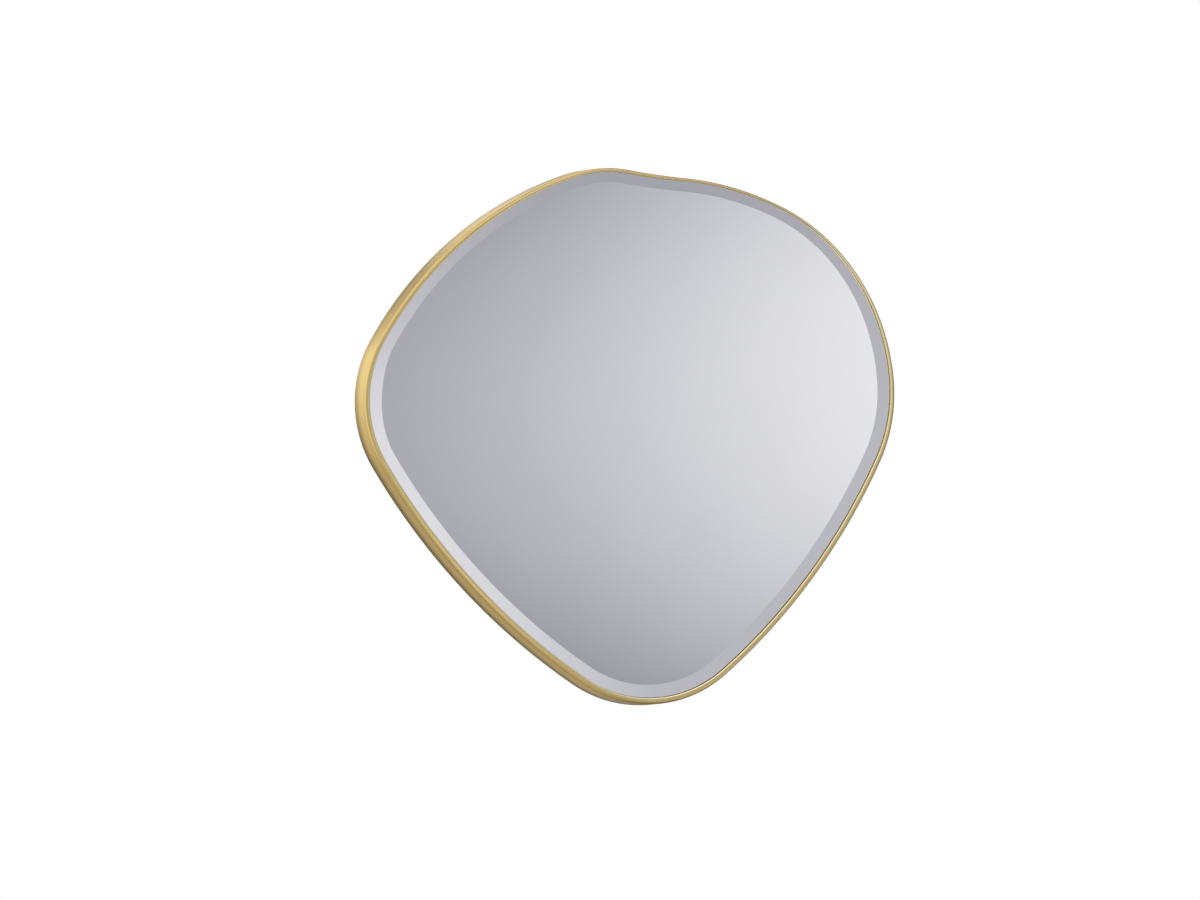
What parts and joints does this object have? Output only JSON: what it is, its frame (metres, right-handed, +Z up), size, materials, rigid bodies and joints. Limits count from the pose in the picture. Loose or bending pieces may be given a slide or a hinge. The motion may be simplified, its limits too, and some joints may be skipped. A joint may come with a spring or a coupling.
{
  "type": "wall mirror",
  "caption": "Pebble-shaped bevelled wall mirror in a bent brushed-gilt band, with a board back, rubber bumpers and swinging hanger rings.",
  "frame": {"origin": "middle of the mirror's box", "axes": "+X to the right seen from the front, +Y from the glass to the wall, +Z up as it hangs"},
  "size_m": [0.6432, 0.0316, 0.5897],
  "materials": {
    "gilt": "brushed gilt",
    "mirror": "silvered, bevelled",
    "film": "matt",
    "foam": "foam",
    "board": "black-faced fibreboard",
    "bracket_steel": "zinc plated",
    "hanger_steel": "nickel plated",
    "screw_steel": "zinc plated",
    "rubber": "matt"
  },
  "bodies": {
    "mirror_body": {"frame_band": "gilt", "mirror_glass": "mirror", "safety_film": "film", "back_board": "board", "tape_strip_1": "foam", "tape_strip_2": "foam", "tape_strip_3": "foam", "tape_strip_4": "foam", "tape_strip_5": "foam", "bracket_1": "bracket_steel", "bracket_2": "bracket_steel", "bracket_3": "bracket_steel", "bracket_4": "bracket_steel", "bracket_5": "bracket_steel", "bracket_6": "bracket_steel", "bracket_7": "bracket_steel", "bracket_8": "bracket_steel", "bracket_9": "bracket_steel", "hanger_strap_left": "hanger_steel", "hanger_strap_right": "hanger_steel", "wall_bumper_1": "rubber", "wall_bumper_2": "rubber", "wall_bumper_3": "rubber", "wall_bumper_4": "rubber", "bracket_screws": "screw_steel", "hanger_screws": "screw_steel", "bumper_screws": "screw_steel"},
    "ring_left": {"hanger_ring_left": "hanger_steel"},
    "ring_right": {"hanger_ring_right": "hanger_steel"}
  },
  "joints": [
    {"name": "ring_left_swing", "type": "hinge", "parent": "mirror_body", "child": "ring_left", "pos_m": [-0.175, 0.00335, 0.12], "axis": [1, 0, 0], "range_deg": [0, 180]},
    {"name": "ring_right_swing", "type": "hinge", "parent": "mirror_body", "child": "ring_right", "pos_m": [0.175, 0.00335, 0.12], "axis": [1, 0, 0], "range_deg": [0, 180]}
  ]
}
